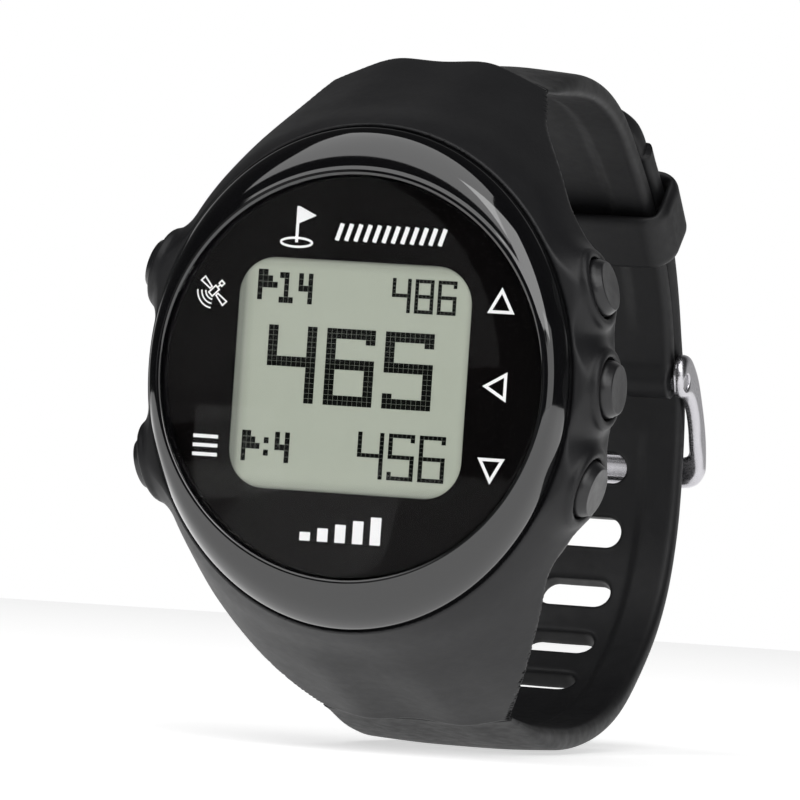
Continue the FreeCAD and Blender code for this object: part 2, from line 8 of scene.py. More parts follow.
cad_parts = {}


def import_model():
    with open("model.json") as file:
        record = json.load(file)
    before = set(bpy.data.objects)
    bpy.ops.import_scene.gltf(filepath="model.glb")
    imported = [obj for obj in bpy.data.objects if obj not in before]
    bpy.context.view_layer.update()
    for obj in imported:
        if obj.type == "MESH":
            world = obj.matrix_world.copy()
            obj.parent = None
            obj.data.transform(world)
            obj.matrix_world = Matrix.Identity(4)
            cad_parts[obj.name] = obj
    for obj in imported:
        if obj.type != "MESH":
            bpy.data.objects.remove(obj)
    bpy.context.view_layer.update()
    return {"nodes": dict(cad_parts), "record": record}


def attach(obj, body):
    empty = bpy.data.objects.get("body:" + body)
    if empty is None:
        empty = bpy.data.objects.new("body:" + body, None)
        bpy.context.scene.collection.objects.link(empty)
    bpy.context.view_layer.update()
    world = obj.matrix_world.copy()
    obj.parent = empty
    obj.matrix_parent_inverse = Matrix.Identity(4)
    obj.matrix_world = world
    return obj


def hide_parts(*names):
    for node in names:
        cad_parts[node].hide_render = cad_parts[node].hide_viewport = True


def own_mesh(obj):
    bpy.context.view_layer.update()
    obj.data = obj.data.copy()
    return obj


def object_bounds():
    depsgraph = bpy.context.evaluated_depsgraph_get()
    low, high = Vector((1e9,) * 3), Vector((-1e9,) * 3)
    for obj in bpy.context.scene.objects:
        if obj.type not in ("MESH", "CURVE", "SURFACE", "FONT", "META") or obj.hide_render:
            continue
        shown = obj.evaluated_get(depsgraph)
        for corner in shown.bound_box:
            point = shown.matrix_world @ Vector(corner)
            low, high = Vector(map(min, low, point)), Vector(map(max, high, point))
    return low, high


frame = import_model()

# ---- dimensions in millimetres -----------------------------------------------
# A name that the part also has carries the part's value, except for the keeper's half width and
# the inner points of BUCKLE_SIDE, and REAR_EDGE runs the other way.
LIP_Y = -16.0
LIP_R = 19.5
LENS_R = 18.85
LENS_BACK_Y = -14.4
MASK_R, MASK_FRONT_Y, MASK_BACK_Y = 18.7, -14.3, -14.2
DOTS_Y, PRINT_Y = -14.17, -14.33
BEZEL_HALF_W, BEZEL_HALF_H = 20.9, 23.6
BEZEL_FOOT_Y = -13.5
CASE_FRONT_Y = -13.1
UPPER_LUG_Y, LOWER_LUG_Y = 4.2, 9.5
UPPER_PIN, LOWER_PIN = (0.5, 27.0), (0.6, -27.0)
BUCKLE_PIN, BUCKLE_BORE_R = (53.6, 2.4), 0.82
TONGUE_HALF_T, TONGUE_HALF_W = 0.44, 1.1
BUTTON_Y = -9.2
BUTTON_BORE_R, STEM_BORE_R = 2.97, 0.87
CAVITY_R = 18.3
RECESS_T = 3.5      # depth of a button's recess along its axis
WINDOW_W, WINDOW_H, WINDOW_R, WINDOW_X = 23.2, 21.75, 3.6, -0.5
TUB_HALF_W, TUB_HALF_H, TUB_FRONT_Y = 20.2, 21.4, -8.0
SCALLOP_R, SCALLOP_X, SCALLOP_Y, SCALLOPS_Z = 4.15, 25.4, -2.5, (5.4, -4.5)
RIDGE_AT = 4.8      # two ridges run from the hoods along the straps, this far from the middle
STRAP_T, ROOT_EDGE_T, LAYER_GAP = 2.2, 0.42, 0.15
TAIL_TIP_R = 9.0
KEEPER_AT, KEEPER_L, KEEPER_HALF_W, KEEPER_WALL = 43.6, 6.8, 11.35, 1.25
SLOT_START, SLOT_PITCH, SLOT_COUNT, SLOT_R = 36.5, 6.5, 11, 1.5
TONGUE_SLOT = 5     # the rubber closes round the tongue here

# side, then distance across and height of the face's centre, and the tilt of the axis
BUTTONS = {
    "button_up": (1, 22.9, 10.15, 15.0),
    "button_back": (1, 24.4, 0.5, 0.0),
    "button_down": (1, 22.9, -9.15, -15.0),
    "button_gps": (-1, 22.7, 9.8, 15.0),
    "button_menu": (-1, 22.7, -9.4, -15.0),
}
# depth, half width, half height and roundness of the case's outline
HOOD = np.array([
    (CASE_FRONT_Y, 21.25, 23.9, 2.0), (-11.0, 21.95, 24.8, 2.1), (-8.0, 22.4, 25.9, 2.2),
    (-4.0, 22.6, 27.6, 2.27), (0.5, 22.6, 29.5, 2.32), (UPPER_LUG_Y, 22.6, 31.1, 2.37),
    (LOWER_LUG_Y + 0.5, 22.6, 33.4, 2.5)])
# depth and height along the rear edge of the case's sides
REAR_EDGE = np.array([
    (9.5, -31.5), (5.6, -29.5), (1.8, -26.9), (-1.9, -23.6), (-5.6, -19.4), (-7.4, -16.2),
    (-6.8, -13.6), (-5.0, -9.5), (-4.8, 0.5), (-5.0, 10.0), (-6.6, 13.6), (-7.2, 16.6),
    (-5.6, 19.8), (-3.3, 22.8), (-0.8, 25.2), (2.2, 27.3), (4.2, 28.7)])
# the wrist side of each strap half, as (y, z)
UPPER_STRAP = [
    (UPPER_LUG_Y, 28.4), (10.0, 28.5), (16.0, 28.8), (22.0, 28.6), (27.4, 27.6), (31.4, 26.1),
    (35.3, 23.9), (39.2, 21.4), (42.6, 18.7), (45.7, 15.6), (48.5, 12.1), (50.6, 8.6),
    (52.0, 5.2), (52.6, 1.6)]
LOWER_STRAP = [
    (LOWER_LUG_Y, -31.2), (14.0, -31.9), (20.0, -32.3), (26.0, -32.4), (34.8, -31.6),
    (43.7, -28.9), (48.1, -26.1), (51.5, -23.3), (53.9, -20.5), (55.4, -17.9), (56.4, -15.1),
    (57.1, -11.7), (57.3, -8.0), (57.1, -3.2), (56.5, 0.4)]
TAIL_ON_UPPER = (57.5, 53, 48, 43, 38, 33, 27)     # places along the upper half that it lies on
BUCKLE_SIDE = [
    (52.2, 2.6), (52.7, 4.7), (54.2, 5.3), (56.2, 4.5), (57.8, 3.2), (59.2, 1.4), (60.8, -1.1),
    (61.9, -3.5), (62.35, -5.4), (62.4, -7.2), (61.8, -8.4), (60.7, -8.1), (60.45, -6.8),
    (59.3, -4.3), (58.5, -2.3), (57.2, -0.4), (55.4, 0.8), (53.2, 1.0)]
TONGUE_LINE = [
    (54.6, 1.6), (55.7, 0.5), (57.0, -0.2), (58.6, -0.35), (60.2, -1.1), (61.8, -3.0),
    (62.4, -5.4), (62.55, -8.3)]


# ---- curves ------------------------------------------------------------------
def spline(knots, values, at, periodic=False):
    """Cubic through values at knots, natural or periodic, evaluated at the places `at`."""
    x, y = np.asarray(knots, float), np.asarray(values, float)
    if periodic:
        span = x[-1] - x[0]
        x = np.concatenate([x[:-1] - span, x, x[1:] + span])
        y = np.concatenate([y[:-1], y, y[1:]])
    n = len(x)
    h = np.diff(x)
    a = np.zeros((n, n))
    b = np.zeros(n)
    a[0, 0] = a[-1, -1] = 1.0
    for i in range(1, n - 1):
        a[i, i - 1:i + 2] = h[i - 1], 2 * (h[i - 1] + h[i]), h[i]
        b[i] = 6 * ((y[i + 1] - y[i]) / h[i] - (y[i] - y[i - 1]) / h[i - 1])
    m = np.linalg.solve(a, b)
    at = np.asarray(at, float)
    i = np.clip(np.searchsorted(x, at) - 1, 0, n - 2)
    left, right = at - x[i], x[i + 1] - at
    return (m[i] * right ** 3 + m[i + 1] * left ** 3) / (6 * h[i]) \
        + (y[i] / h[i] - m[i] * h[i] / 6) * right + (y[i + 1] / h[i] - m[i + 1] * h[i] / 6) * left


class Line:
    """Smooth curve in the YZ plane with distance along it as its parameter."""

    def __init__(self, points, closed=False, count=900):
        p = np.array(list(points) + ([points[0]] if closed else []), float)
        chord = np.concatenate([[0], np.cumsum(np.hypot(*np.diff(p, axis=0).T))])
        fine = np.linspace(0, chord[-1], count)
        self.p = np.stack([spline(chord, p[:, k], fine, closed) for k in (0, 1)], -1)
        self.s = np.concatenate([[0], np.cumsum(np.hypot(*np.diff(self.p, axis=0).T))])
        self.t = np.gradient(self.p, self.s, axis=0)
        self.t /= np.linalg.norm(self.t, axis=1)[:, None]
        self.length = self.s[-1]

    def at(self, s):
        s = np.asarray(s, float)
        y, z = (np.interp(s, self.s, self.p[:, k]) for k in (0, 1))
        ty, tz = (np.interp(s, self.s, self.t[:, k]) for k in (0, 1))
        over = s - np.clip(s, 0, self.length)
        return y + over * ty, z + over * tz, ty, tz


def upper_line():
    return Line(UPPER_STRAP)


def lower_line():
    base, lift = upper_line(), STRAP_T + LAYER_GAP
    points = list(LOWER_STRAP)
    for s in TAIL_ON_UPPER:
        y, z, ty, tz = base.at(s)
        points.append((float(y - tz * lift), float(z + ty * lift)))
    return Line(points)


# ---- solids as signed fields, millimetres ------------------------------------
def smin(a, b, k):
    """Smaller of the two, with a blend of width k where they meet."""
    h = np.clip(0.5 + 0.5 * (b - a) / k, 0, 1)
    return b + (a - b) * h - k * h * (1 - h)


def smax(a, b, k):
    return -smin(-a, -b, k)


def rounded_corner(a, b, corner):
    """Distance outside two faces that share a rounded corner, from the distances to each."""
    a, b = a + corner, b + corner
    return np.sqrt(np.maximum(a, 0) ** 2 + np.maximum(b, 0) ** 2) \
        + np.minimum(np.maximum(a, b), 0) - corner


def twin_ridges(across, ridge, valley):
    """Height of two soft ridges with a shallow valley between them."""
    side = ridge * np.exp(-((np.abs(across) - RIDGE_AT) / 2.1) ** 2)
    return side - valley * np.exp(-(across / 2.6) ** 2)


def step_between(x, x0, x1):
    """0 before x0 and 1 past x1, with a smooth rise between."""
    s = np.clip((x - x0) / (x1 - x0), 0, 1)
    return s * s * (3 - 2 * s)


def polygon_distance(points, y, z):
    """Signed distance in the YZ plane to a closed polygon, negative inside."""
    best = np.full(np.broadcast(y, z).shape, 1e9)
    inside = np.zeros(best.shape, bool)
    q = np.roll(points, -1, axis=0)
    for (y0, z0), (y1, z1) in zip(points, q):
        ey, ez = y1 - y0, z1 - z0
        t = np.clip(((y - y0) * ey + (z - z0) * ez) / (ey * ey + ez * ez), 0, 1)
        best = np.minimum(best, (y - y0 - t * ey) ** 2 + (z - z0 - t * ez) ** 2)
        if ez != 0:
            crosses = (z >= min(z0, z1)) & (z < max(z0, z1))
            inside ^= crosses & (y < y0 + (z - z0) * ey / ez)
    return np.where(inside, -1, 1) * np.sqrt(best)


def path_distance(points, y, z):
    """Distance in the YZ plane to an open line of straight stretches."""
    best = np.full(np.broadcast(y, z).shape, 1e9)
    for (y0, z0), (y1, z1) in zip(points[:-1], points[1:]):
        ey, ez = y1 - y0, z1 - z0
        t = np.clip(((y - y0) * ey + (z - z0) * ez) / (ey * ey + ez * ez), 0, 1)
        best = np.minimum(best, (y - y0 - t * ey) ** 2 + (z - z0 - t * ez) ** 2)
    return np.sqrt(best)


CORNERS = [(i, j, k) for i in (0, 1) for j in (0, 1) for k in (0, 1)]
SETTLE_ROUNDS = 3


def gradient(field, p, eps):
    """Central differences of a field at each point."""
    g = np.empty_like(p)
    for k in range(3):
        d = np.zeros(3)
        d[k] = eps
        hi, lo = p + d, p - d
        g[:, k] = (field(*hi.T) - field(*lo.T)) / (2 * eps)
    return g


def surface(field, lo, hi, step):
    """Quads on the zero level of a field: one vertex per crossed cell, settled onto the level."""
    axes = [np.arange(a, b + step, step) for a, b in zip(lo, hi)]
    shape = tuple(len(a) for a in axes)
    f = np.broadcast_to(field(*np.meshgrid(*axes, indexing="ij", sparse=True)), shape)
    inside = f < 0
    n = [s - 1 for s in shape]

    def corner(a, c):
        return a[c[0]:c[0] + n[0], c[1]:c[1] + n[1], c[2]:c[2] + n[2]]

    count = sum(corner(inside, c).astype(np.int8) for c in CORNERS)
    cells = np.argwhere((count > 0) & (count < 8))
    total, weight = np.zeros((len(cells), 3)), np.zeros(len(cells))
    values = {c: f[tuple((cells + c).T)] for c in CORNERS}
    for a in CORNERS:
        for k in range(3):
            if a[k]:
                continue
            b = tuple(1 if i == k else a[i] for i in range(3))
            fa, fb = values[a], values[b]
            crossed = (fa < 0) != (fb < 0)
            t = np.where(crossed, fa / np.where(crossed, fa - fb, 1), 0)
            point = np.tile(np.array(a, float), (len(cells), 1))
            point[:, k] = t
            total += point * crossed[:, None]
            weight += crossed
    origin = np.array([a[0] for a in axes])
    p = origin + step * (cells + total / weight[:, None])
    for _ in range(SETTLE_ROUNDS):
        g = gradient(field, p, step * 0.1)
        size = np.maximum((g * g).sum(1), 0.05)
        move = -(field(*p.T) / size)[:, None] * g
        length = np.linalg.norm(move, axis=1)[:, None]
        p += move * np.minimum(1, 0.5 * step / np.maximum(length, 1e-9))
    index = np.full(n, -1, np.int64)
    index[tuple(cells.T)] = np.arange(len(cells))
    faces = []
    for k in range(3):
        u, v = (k + 1) % 3, (k + 2) % 3
        low = [slice(1, None)] * 3
        low[k] = slice(0, shape[k] - 1)
        high = list(low)
        high[k] = slice(1, None)
        for side in (True, False):
            edge = (inside[tuple(low)] == side) & (inside[tuple(high)] != side)
            at = np.argwhere(edge)
            for i in range(3):
                if i != k:
                    at[:, i] += 1
            keep = (at[:, u] < n[u]) & (at[:, v] < n[v])
            at = at[keep]
            du, dv = np.eye(3, dtype=int)[u], np.eye(3, dtype=int)[v]
            ring = [at, at - du, at - du - dv, at - dv]
            quad = np.stack([index[tuple(r.T)] for r in ring], -1)
            faces.append(quad if side else quad[:, ::-1])
    faces = np.concatenate(faces)
    return p, faces[(faces >= 0).all(1)]


def add_piece(name, mesh, body, slot, replaces=(), material=None, smooth=True):
    """Piece on a body from points in millimetres and faces, in its slot's material unless told."""
    points, faces = mesh
    data = bpy.data.meshes.new(name)
    faces = [tuple(int(i) for i in f) for f in faces]
    data.from_pydata([tuple(p) for p in np.asarray(points, float) * 0.001], [], faces)
    data.validate()
    if smooth:
        data.polygons.foreach_set("use_smooth", [True] * len(data.polygons))
    data.update()
    obj = bpy.data.objects.new(name, data)
    bpy.context.scene.collection.objects.link(obj)
    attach(obj, body)
    if replaces:
        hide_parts(*replaces)
    paint(obj, material or MATERIALS[slot])
    return obj


def button_frame(name):
    """Face centre and inward axis of a button."""
    side, x, z, tilt = BUTTONS[name]
    a = math.radians(tilt)
    return np.array([side * x, BUTTON_Y, z]), np.array([-side * math.cos(a), 0, -math.sin(a)])


def wall_end(name):
    """Distance along a button's axis to the wall of the cavity."""
    start, inward = button_frame(name)
    b = start[0] * inward[0] + start[2] * inward[2]
    c = start[0] ** 2 + start[2] ** 2 - CAVITY_R ** 2
    return -b - math.sqrt(b * b - c)


def on_axis(name, x, y, z):
    """Distance along a button's axis and from it."""
    start, inward = button_frame(name)
    t = (x - start[0]) * inward[0] + (z - start[2]) * inward[2]
    rx = (x - start[0]) - t * inward[0]
    rz = (z - start[2]) - t * inward[2]
    return t, np.sqrt(rx * rx + (y - start[1]) ** 2 + rz * rz)


# ---- case --------------------------------------------------------------------
def oval(x, z, w, h, p):
    """Radial distance from a superellipse."""
    r = ((np.abs(x) / w) ** p + (np.abs(z) / h) ** p) ** (1 / p)
    r = np.maximum(r, 1e-6)
    reach = np.sqrt(x * x + z * z)
    return reach - reach / r


def hood_field(x, y, z):
    """Outer side of the case with its hoods, and its rear edge, as two fields."""
    yy = np.clip(y, HOOD[0, 0], HOOD[-1, 0])
    w, h, p = (spline(HOOD[:, 0], HOOD[:, k], yy) for k in (1, 2, 3))
    grow = step_between(y, CASE_FRONT_Y, 3.0)
    low = step_between(-z, 12.0, 22.0)
    deep = step_between(y, -4.0, LOWER_LUG_Y)
    p = p + 0.3 * low * grow + 0.35 * low * deep
    h = h - 0.75 * low * deep + 0.25 * (1 - low) * step_between(y, -4.0, UPPER_LUG_Y)
    ax = np.abs(x)
    h = h + grow * (twin_ridges(x, 0.2, 0.22) - 0.12 * np.exp(-((ax - 9.0) / 2.0) ** 2))
    slope = np.where(ax * BEZEL_HALF_H > np.abs(z) * BEZEL_HALF_W, 0.99, 0.93)
    side = oval(x, z, w, h, p) * slope
    edge = spline(REAR_EDGE[:, 1], REAR_EDGE[:, 0], np.clip(z, -31.5, 28.7))
    edge = np.where(z > 28.7, UPPER_LUG_Y, np.where(z < -31.5, LOWER_LUG_Y, edge))
    lean = np.where(np.abs(z) < 17, 0.9, 0.68)
    rear = (y - edge) * np.where(z > 28.7, 1.0, np.where(z < -31.5, 1.0, lean))
    return side, rear


def tub_field(x, y, z):
    """Rear part of the case, which rests on the wrist."""
    side = oval(x, z, TUB_HALF_W, TUB_HALF_H, 2.8)
    return smax(smax(side, y, 1.2), TUB_FRONT_Y - y, 0.2)


def pocket_field(x, y, z, pin, root, sign):
    """Recess behind a hood for the strap's root and its lug pin."""
    top = np.interp(y, (pin[0] - 1.3, root[0]), (abs(pin[1]) + 1.0, abs(root[1]) - 0.1))
    up = z * sign
    return np.maximum(np.maximum(np.abs(x) - 5.6, pin[0] - 1.3 - y),
                      np.maximum(up - top, abs(pin[1]) - 12 - up))


def button_boss(name, x, y, z):
    """Mound round a button and the lip of its recess, as two fields."""
    t, r = on_axis(name, x, y, z)
    flare = 3.62 + 0.3 * np.clip(t - 1.6, 0, 6)
    mound = smax(r - flare, 1.12 - t, 0.6)
    mound = smax(mound, t - 8.0, 0.5)
    return mound, np.sqrt((r - 3.36) ** 2 + (t - 1.32) ** 2) - 0.4


def inner_space(x, y, z):
    """Cavity for the movement, a narrower step behind it, and the seat of the case back."""
    reach = np.sqrt(x * x + z * z)
    hollow = np.minimum(np.maximum(reach - CAVITY_R, y + 4.2), np.maximum(reach - 16.6, y + 1.8))
    seat = np.maximum(oval(x, z, 18.95, 20.15, 2.8), -1.8 - y)
    return np.minimum(hollow, seat)


def case_field(x, y, z):
    side, rear = hood_field(x, y, z)
    body = smax(side, rear, 0.35)
    tub = tub_field(x, y, z)
    body = smin(body, tub, 0.5)
    for name in BUTTONS:
        mound, lip = button_boss(name, x, y, z)
        body = smin(body, mound, 2.0)
        body = smin(body, lip, 0.3)
    body = smax(body, CASE_FRONT_Y - y, 0.25)
    foot = np.maximum(oval(x, z, BEZEL_HALF_W + 0.12, BEZEL_HALF_H + 0.12, 2.0), y + 12.75)
    body = smax(body, -foot, 0.1)
    for middle in SCALLOPS_Z:
        dx, dy, dz = x - SCALLOP_X, y - SCALLOP_Y, 0.8 * (z - middle)
        scallop = np.sqrt(dx ** 2 + dy ** 2 + dz ** 2) - SCALLOP_R
        body = smax(body, -scallop, 0.12)
    for name in BUTTONS:
        t, r = on_axis(name, x, y, z)
        body = smax(body, -np.maximum(r - BUTTON_BORE_R, t - RECESS_T), 0.2)
        body = np.maximum(body, -np.maximum(r - STEM_BORE_R, t - wall_end(name) - 1.5))
    body = np.maximum(body, -inner_space(x, y, z))
    for pin, root, sign in ((UPPER_PIN, UPPER_STRAP[0], 1), (LOWER_PIN, LOWER_STRAP[0], -1)):
        pocket = np.maximum(pocket_field(x, y, z, pin, root, sign), -tub)
        body = smax(body, -pocket, 0.2)
    return body


def bezel_mesh():
    """Gloss ring: one oval for each row (y, half width, half height), closed round its section."""
    dome = np.array([(LIP_Y + 0.12, LIP_R + 0.13, LIP_R + 0.16), (LIP_Y + 0.32, 19.95, 20.55),
                     (LIP_Y + 0.6, 20.18, 21.45), (LIP_Y + 1.0, 20.4, 22.2),
                     (LIP_Y + 1.5, 20.6, 22.85), (BEZEL_FOOT_Y - 0.4, 20.8, 23.35),
                     (BEZEL_FOOT_Y, 20.86, 23.54)])
    s = np.linspace(0, 1, 26)
    k = np.linspace(0, 1, len(dome))
    rows = [(-13.9, 18.9, 18.9), (LIP_Y + 0.5, 18.9, 18.9), (LIP_Y + 0.18, 18.92, 18.92),
            (LIP_Y + 0.06, 19.0, 19.0), (LIP_Y, 19.14, 19.14), (LIP_Y, 19.3, 19.3),
            (LIP_Y + 0.03, 19.47, 19.48)]
    rows += [tuple(spline(k, dome[:, c], [v])[0] for c in range(3)) for v in s]
    rows += [(BEZEL_FOOT_Y + 0.2, 20.84, 23.52), (CASE_FRONT_Y - 0.1, 20.76, 23.44),
             (CASE_FRONT_Y + 0.3, 20.74, 23.42), (CASE_FRONT_Y + 0.3, 18.25, 18.25),
             (-11.9, 18.22, 18.22), (-11.9, 17.7, 17.7), (-13.9, 17.7, 17.7)]
    count = 288
    a = np.linspace(0, 2 * math.pi, count, endpoint=False)
    points = np.concatenate([np.stack([w * np.cos(a), np.full(count, y), h * np.sin(a)], -1)
                             for y, w, h in rows])
    return points, loop_faces(len(rows), count, closed=True)


def loop_faces(rows, count, closed=False):
    """Quads between rings of the same number of points."""
    faces = []
    for r in range(rows if closed else rows - 1):
        r2 = (r + 1) % rows
        for i in range(count):
            j = (i + 1) % count
            faces.append((r * count + i, r2 * count + i, r2 * count + j, r * count + j))
    return faces


def lathe(profile, start, axis, count=72):
    """Surface of revolution of (t, r) pairs round an axis; ends close on themselves."""
    axis = np.array(axis, float)
    u = np.cross(axis, (0, 1, 0) if abs(axis[1]) < 0.9 else (1, 0, 0))
    u /= np.linalg.norm(u)
    v = np.cross(axis, u)
    a = np.linspace(0, 2 * math.pi, count, endpoint=False)
    points = np.concatenate([
        np.array(start) + axis * t + r * (np.cos(a)[:, None] * u + np.sin(a)[:, None] * v)
        for t, r in profile])
    return points, loop_faces(len(profile), count)


def button_mesh(name):
    """Domed cap with a hollow behind it, and its stem with a groove."""
    start, inward = button_frame(name)
    end = wall_end(name) + 1.15
    profile = [(0.06, 0.0), (0.05, 1.2), (0.02, 2.15), (0.02, 2.26), (0.05, 2.32), (0.1, 2.36),
               (0.5, 2.57), (0.6, 2.63), (0.72, 2.68), (0.9, 2.73), (1.2, 2.75), (2.3, 2.75),
               (2.4, 2.7), (2.4, 2.2), (0.95, 2.2), (0.95, 0.82), (4.15, 0.8), (4.2, 0.56),
               (4.7, 0.56), (4.75, 0.8), (end - 0.1, 0.8), (end, 0.7), (end, 0.0)]
    return lathe(profile, start, inward)


def spring_mesh(name):
    """Open coil between the hollow cap and the floor of its recess."""
    start, inward = button_frame(name)
    wire_r, coil_r, turns, per_turn, sides = 0.13, 1.5, 3.5, 32, 8
    t0, t1 = 0.95 + wire_r + 0.02, RECESS_T - wire_r - 0.02
    u = np.cross(inward, (0, 1, 0))
    v = np.cross(inward, u)
    count = int(turns * per_turn) + 1
    a = np.linspace(0, 2 * math.pi * turns, count)[:, None]
    outward = np.cos(a) * u + np.sin(a) * v
    middle = start + np.linspace(t0, t1, count)[:, None] * inward + coil_r * outward
    points = np.concatenate([
        middle + wire_r * (math.cos(b) * outward + math.sin(b) * inward)
        for b in np.linspace(0, 2 * math.pi, sides, endpoint=False)])
    faces = [(j * count + i, j * count + i + 1, k * count + i + 1, k * count + i)
             for j in range(sides) for k in [(j + 1) % sides] for i in range(count - 1)]
    faces.append([j * count for j in range(sides)])
    faces.append([j * count + count - 1 for j in reversed(range(sides))])
    return points, faces


def mask_mesh():
    """Print behind the lens: a disc with the display window in it."""
    count, rings = 192, 6
    a = np.linspace(0, 2 * math.pi, count, endpoint=False)
    outer = np.stack([MASK_R * np.cos(a), MASK_R * np.sin(a)], -1)
    hw, hh, corner = WINDOW_W / 2 - WINDOW_R, WINDOW_H / 2 - WINDOW_R, WINDOW_R
    d = np.stack([np.cos(a), np.sin(a)], -1)
    lo, hi = np.zeros(count), np.full(count, 18.0)
    for _ in range(40):     # halves the gap to the window's edge in each direction
        mid = (lo + hi) / 2
        q = np.abs(d * mid[:, None]) - (hw, hh)
        inside = np.linalg.norm(np.maximum(q, 0), axis=1) + np.minimum(q.max(1), 0) < corner
        lo, hi = np.where(inside, mid, lo), np.where(inside, hi, mid)
    inner = d * lo[:, None] + (WINDOW_X, 0)
    flat = [inner + (outer - inner) * k / rings for k in range(rings + 1)]
    front = [np.insert(f, 1, MASK_FRONT_Y, axis=1) for f in flat]
    back = [np.insert(f, 1, MASK_BACK_Y, axis=1) for f in (flat[-1], flat[0])]
    return np.concatenate(front + back), loop_faces(rings + 3, count, closed=True)


# ---- strap -------------------------------------------------------------------
def bend(line, points, sign):
    """From (across, along, out) to the strap's place."""
    u, s, v = np.asarray(points, float).T
    y, z, ty, tz = line.at(s)
    return np.stack([u, y - sign * tz * v, z + sign * ty * v], -1)


def strap_slab(u, s, v, half_w, edge_t, centre_t, channel):
    """Rounded slab crowned outside, with a shallow channel along its wrist side."""
    au = np.abs(u)
    crown = edge_t + (centre_t - edge_t) * np.clip(1 - (u / half_w) ** 2, 0, 1)
    floor = channel * (1 - step_between(au, 4.9, 6.3))
    top = v - crown
    low = floor - v
    side = au - half_w
    k = np.minimum(0.6 * edge_t, 1.1)
    return smax(smax(side, top, k), low, np.minimum(0.7 * edge_t, 0.9))


def upper_field(u, s, v, length, pin):
    """Buckle half: across, along and out, with the fold round the buckle's pin at its end."""
    half_w = 10.85 + (9.55 - 10.85) * step_between(s, 0, 42)
    edge_t = ROOT_EDGE_T + (STRAP_T - ROOT_EDGE_T) * step_between(s, 0, 12)
    centre_t = 2.72 + 0.03 * step_between(s, 0, 14)
    centre_t = centre_t + (STRAP_T - centre_t) * step_between(s, 14, 26)
    ridge = 1 - step_between(s, 4, 16)
    centre_t = centre_t + ridge * twin_ridges(u, 0.16, 0.22)
    channel = 0.4 * step_between(s, 3, 10) * (1 - step_between(s, length - 9, length - 5))
    body = strap_slab(u, s, v, half_w, edge_t, centre_t, channel)
    body = np.maximum(body, -s)
    body = np.maximum(body, s - length)
    ps, pv = pin
    from_pin = np.sqrt((s - ps) ** 2 + (v - pv) ** 2)
    fold = np.maximum(from_pin - 1.72, np.abs(u) - 9.35)
    body = smin(body, fold, 0.6)
    bore = from_pin - 0.8
    notch = np.maximum(np.abs(u) - 1.7, ps - 3.2 - s)
    return smax(np.maximum(body, -bore), -notch, 0.3)


def lower_field(u, s, v, length):
    """Slotted half, thinner and round at its tip."""
    half_w = 9.7 + 0.65 * step_between(s, 0, 9) - 0.75 * step_between(s, 9, 45)
    edge_t = ROOT_EDGE_T + (STRAP_T - ROOT_EDGE_T) * step_between(s, 0, 14)
    centre_t = 1.2 + 1.45 * step_between(s, 0, 16)
    centre_t = centre_t + (STRAP_T + 0.2 - centre_t) * step_between(s, 55, 75)
    ridge = 1 - step_between(s, 4, 18)
    centre_t = centre_t + ridge * twin_ridges(u, 0.1, 0.2)
    tip = length - s
    thin = step_between(tip, 0, 7)
    half_w = half_w + 0.3 * step_between(s, 80, 94)
    edge_t = 1.8 + (edge_t - 1.8) * thin
    centre_t = 2.0 + (centre_t - 2.0) * thin
    channel = 0.4 * step_between(s, 3, 10) * (1 - step_between(s, 62, 68))
    body = strap_slab(u, s, v, half_w, edge_t, centre_t, channel)
    body = np.maximum(body, -s)
    tip_s = length - TAIL_TIP_R
    past = np.sqrt(u * u + np.maximum(s - tip_s, 0) ** 2) - TAIL_TIP_R - 0.35
    body = smax(body, np.where(s > tip_s, past, -1.0), 0.8)
    for i in range(SLOT_COUNT):
        ds = s - (SLOT_START + SLOT_PITCH * i)
        across = np.maximum(np.abs(u) - (0.7 if i == TONGUE_SLOT else 2.3), 0)
        hole = np.sqrt(across ** 2 + ds * ds) - SLOT_R
        body = smax(body, -hole, 0.45)
    return body


def root_tab_field(x, y, z, pin, points, sign):
    """Tab from the strap's root down to its lug pin, inside the hood's pocket."""
    (y0, z0), (y1, z1) = points[:2]
    py, pz = pin
    outline = np.array([
        (py - 1.1, pz + sign * 0.9), (y0 - 0.15, z0 - sign * 0.25), (y0 + 0.05, z0 + sign * 0.4),
        (y1, z1 + sign * 0.4), (y1 - 2.5, z1 - sign * 1.2), (py + 1.0, pz - sign * 0.9),
        (py - 1.1, pz - sign * 0.9)])
    flat = polygon_distance(outline, y, z)
    return smax(flat + 0.1, np.abs(x) - 5.4, 0.4)


def keeper_field(x, n, t):
    """Loop round both layers, with softly rolled rims; n is out from the wrist side."""
    low, high = -0.6, 2 * STRAP_T + LAYER_GAP + 0.6
    mid, half = (low + high) / 2, (high - low) / 2
    w = KEEPER_HALF_W - KEEPER_WALL

    def rounded(half_w, half_n, corner):
        return rounded_corner(np.abs(x) - half_w, np.abs(n - mid) - half_n, corner)

    outer = rounded(KEEPER_HALF_W, half + KEEPER_WALL, 2.8)
    inner = rounded(w, half, 0.6)
    body = smax(outer, -inner, 0.25)
    return smax(body, np.abs(t) - KEEPER_L / 2, 1.1)


# ---- buckle ------------------------------------------------------------------
def from_buckle_pin(y, z):
    return np.sqrt((y - BUCKLE_PIN[0]) ** 2 + (z - BUCKLE_PIN[1]) ** 2)


